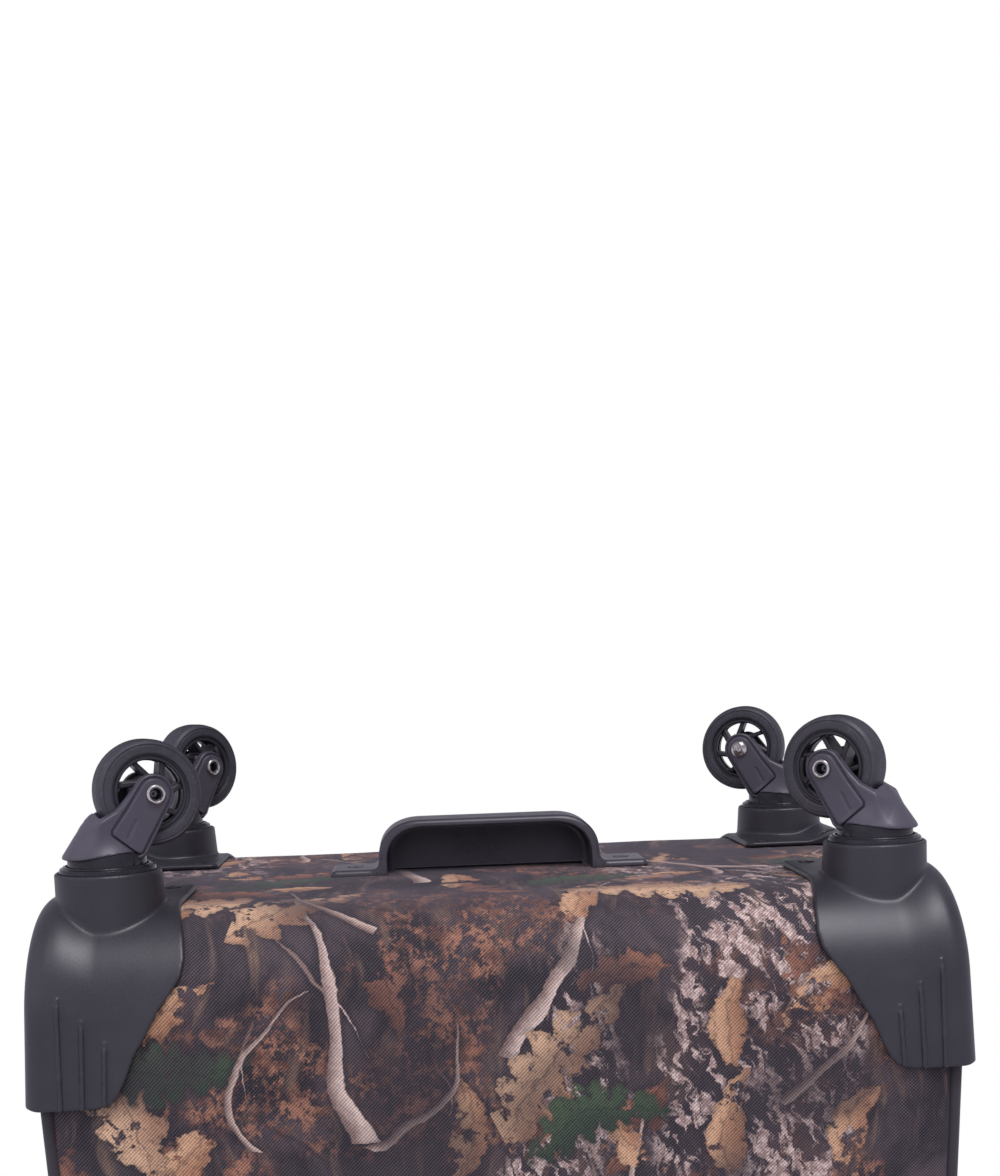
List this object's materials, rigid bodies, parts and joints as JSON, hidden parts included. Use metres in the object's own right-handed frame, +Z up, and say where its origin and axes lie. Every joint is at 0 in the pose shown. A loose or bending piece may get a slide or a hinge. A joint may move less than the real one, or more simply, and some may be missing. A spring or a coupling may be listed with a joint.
{
  "type": "rolling suitcase",
  "caption": "Upright soft-sided rolling case on swivel casters, with camouflage fabric, corner guards, a telescoping pull handle, a hinged zip lid and a moulded bottom grab handle.",
  "frame": {"origin": "on the floor at the centre of the caster pattern, case standing upright on its wheels", "axes": "+Z up, -Y towards the front (lid and pockets), +Y towards the back (pull-handle side), +X to the right seen from the front"},
  "size_m": [0.4632, 0.3216, 0.7633],
  "materials": {
    "camo_fabric": "woven twill, printed",
    "lining_fabric": "plain weave",
    "binding": "ribbed binding",
    "zip_tape": "woven tape with coil",
    "strap_fabric": "webbing",
    "guard_plastic": "fine spark texture",
    "fork_plastic": "satin moulded",
    "handle_plastic": "semi-gloss moulded",
    "tyre": "matt urethane",
    "hub_plastic": "satin moulded",
    "nickel": "nickel plated",
    "tube_alloy": "anodised",
    "wire_steel": "drawn wire",
    "board": "extruded sheet",
    "zip_metal": "black enamel"
  },
  "bodies": {
    "case": {"main_body": "camo_fabric", "lining": "lining_fabric", "frame_board": "board", "wire_hoop_back": "wire_steel", "wire_hoop_front": "wire_steel", "piping_back": "binding", "main_zip_body": "zip_tape", "guard_screws": "zip_metal", "swivel_rings": "fork_plastic", "swivel_pins": "nickel", "bottom_handle": "handle_plastic", "bottom_handle_screws": "zip_metal", "outer_tubes": "tube_alloy", "handle_cup": "handle_plastic", "top_handle": "strap_fabric", "side_handle": "strap_fabric", "guard_back_left": "guard_plastic", "guard_back_right": "guard_plastic", "guard_front_left": "guard_plastic", "guard_front_right": "guard_plastic"},
    "lid": {"lid_shell": "camo_fabric", "lid_lining": "lining_fabric", "lid_wire": "wire_steel", "piping_front": "binding", "main_zip_lid": "zip_tape", "lower_pocket": "camo_fabric", "upper_pocket": "camo_fabric", "lower_pocket_zip": "zip_tape", "upper_pocket_zip": "zip_tape"},
    "handle_middle": {"mid_tubes": "tube_alloy"},
    "handle_top": {"inner_tubes": "tube_alloy", "grip": "handle_plastic"},
    "handle_button": {"release_button": "handle_plastic"},
    "caster_back_left": {"fork_back_left": "fork_plastic", "axle_back_left": "nickel"},
    "wheel_back_left": {"hub_back_left": "hub_plastic", "tyre_back_left": "tyre"},
    "caster_back_right": {"fork_back_right": "fork_plastic", "axle_back_right": "nickel"},
    "wheel_back_right": {"hub_back_right": "hub_plastic", "tyre_back_right": "tyre"},
    "caster_front_left": {"fork_front_left": "fork_plastic", "axle_front_left": "nickel"},
    "wheel_front_left": {"hub_front_left": "hub_plastic", "tyre_front_left": "tyre"},
    "caster_front_right": {"fork_front_right": "fork_plastic", "axle_front_right": "nickel"},
    "wheel_front_right": {"hub_front_right": "hub_plastic", "tyre_front_right": "tyre"},
    "main_left_slider_body": {"main_left_slider": "zip_metal"},
    "main_left_pull_body": {"main_left_pull": "zip_metal"},
    "main_right_slider_body": {"main_right_slider": "zip_metal"},
    "main_right_pull_body": {"main_right_pull": "zip_metal"},
    "lower_pocket_slider_body": {"lower_pocket_slider": "zip_metal"},
    "lower_pocket_pull_body": {"lower_pocket_pull": "zip_metal"},
    "upper_pocket_slider_body": {"upper_pocket_slider": "zip_metal"},
    "upper_pocket_pull_body": {"upper_pocket_pull": "zip_metal"}
  },
  "joints": [
    {"name": "swivel_back_left", "type": "hinge", "parent": "case", "child": "caster_back_left", "pos_m": [-0.1855, 0.1025, 0.066], "axis": [0, 0, 1], "continuous": true},
    {"name": "roll_back_left", "type": "hinge", "parent": "caster_back_left", "child": "wheel_back_left", "pos_m": [-0.16543, 0.09348, 0.025], "axis": [0.4099, 0.9121, 0], "continuous": true},
    {"name": "swivel_back_right", "type": "hinge", "parent": "case", "child": "caster_back_right", "pos_m": [0.1855, 0.1025, 0.066], "axis": [0, 0, 1], "continuous": true},
    {"name": "roll_back_right", "type": "hinge", "parent": "caster_back_right", "child": "wheel_back_right", "pos_m": [0.16819, 0.08893, 0.025], "axis": [0.617, -0.7869, 0], "continuous": true},
    {"name": "swivel_front_left", "type": "hinge", "parent": "case", "child": "caster_front_left", "pos_m": [-0.1855, -0.1025, 0.066], "axis": [0, 0, 1], "continuous": true},
    {"name": "roll_front_left", "type": "hinge", "parent": "caster_front_left", "child": "wheel_front_left", "pos_m": [-0.16981, -0.11792, 0.025], "axis": [0.7009, 0.7133, 0], "continuous": true},
    {"name": "swivel_front_right", "type": "hinge", "parent": "case", "child": "caster_front_right", "pos_m": [0.1855, -0.1025, 0.066], "axis": [0, 0, 1], "continuous": true},
    {"name": "roll_front_right", "type": "hinge", "parent": "caster_front_right", "child": "wheel_front_right", "pos_m": [0.16514, -0.11085, 0.025], "axis": [0.3795, -0.9252, 0], "continuous": true},
    {"name": "lid_open", "type": "hinge", "parent": "case", "child": "lid", "pos_m": [0, -0.145, 0.177], "axis": [1, 0, 0], "range_deg": [0, 100]},
    {"name": "pull_handle_lower_stage", "type": "slide", "parent": "case", "child": "handle_middle", "axis": [0, 0, 1], "range_m": [0, 0.16]},
    {"name": "pull_handle_upper_stage", "type": "slide", "parent": "handle_middle", "child": "handle_top", "axis": [0, 0, 1], "range_m": [0, 0.16]},
    {"name": "release_button_press", "type": "slide", "parent": "handle_top", "child": "handle_button", "axis": [0, 0, -1], "range_m": [0, 0.0035]},
    {"name": "main_left_zip_run", "type": "slide", "parent": "case", "child": "main_left_slider_body", "axis": [-1, 0, 0], "range_m": [0, 0.14]},
    {"name": "main_left_pull_swing", "type": "hinge", "parent": "main_left_slider_body", "child": "main_left_pull_body", "pos_m": [-0.009, -0.0951, 0.7453], "axis": [-1, 0, 0], "range_deg": [0, 165]},
    {"name": "main_right_zip_run", "type": "slide", "parent": "case", "child": "main_right_slider_body", "axis": [1, 0, 0], "range_m": [0, 0.14]},
    {"name": "main_right_pull_swing", "type": "hinge", "parent": "main_right_slider_body", "child": "main_right_pull_body", "pos_m": [0.009, -0.0951, 0.7453], "axis": [-1, 0, 0], "range_deg": [0, 165]},
    {"name": "lower_pocket_zip_run", "type": "slide", "parent": "lid", "child": "lower_pocket_slider_body", "axis": [1, 0, 0], "range_m": [0, 0.3]},
    {"name": "lower_pocket_pull_swing", "type": "hinge", "parent": "lower_pocket_slider_body", "child": "lower_pocket_pull_body", "pos_m": [-0.15, -0.1719, 0.442], "axis": [-1, 0, 0], "range_deg": [0, 165]},
    {"name": "upper_pocket_zip_run", "type": "slide", "parent": "lid", "child": "upper_pocket_slider_body", "axis": [1, 0, 0], "range_m": [0, 0.256]},
    {"name": "upper_pocket_pull_swing", "type": "hinge", "parent": "upper_pocket_slider_body", "child": "upper_pocket_pull_body", "pos_m": [-0.128, -0.1659, 0.67], "axis": [-1, 0, 0], "range_deg": [0, 165]}
  ]
}
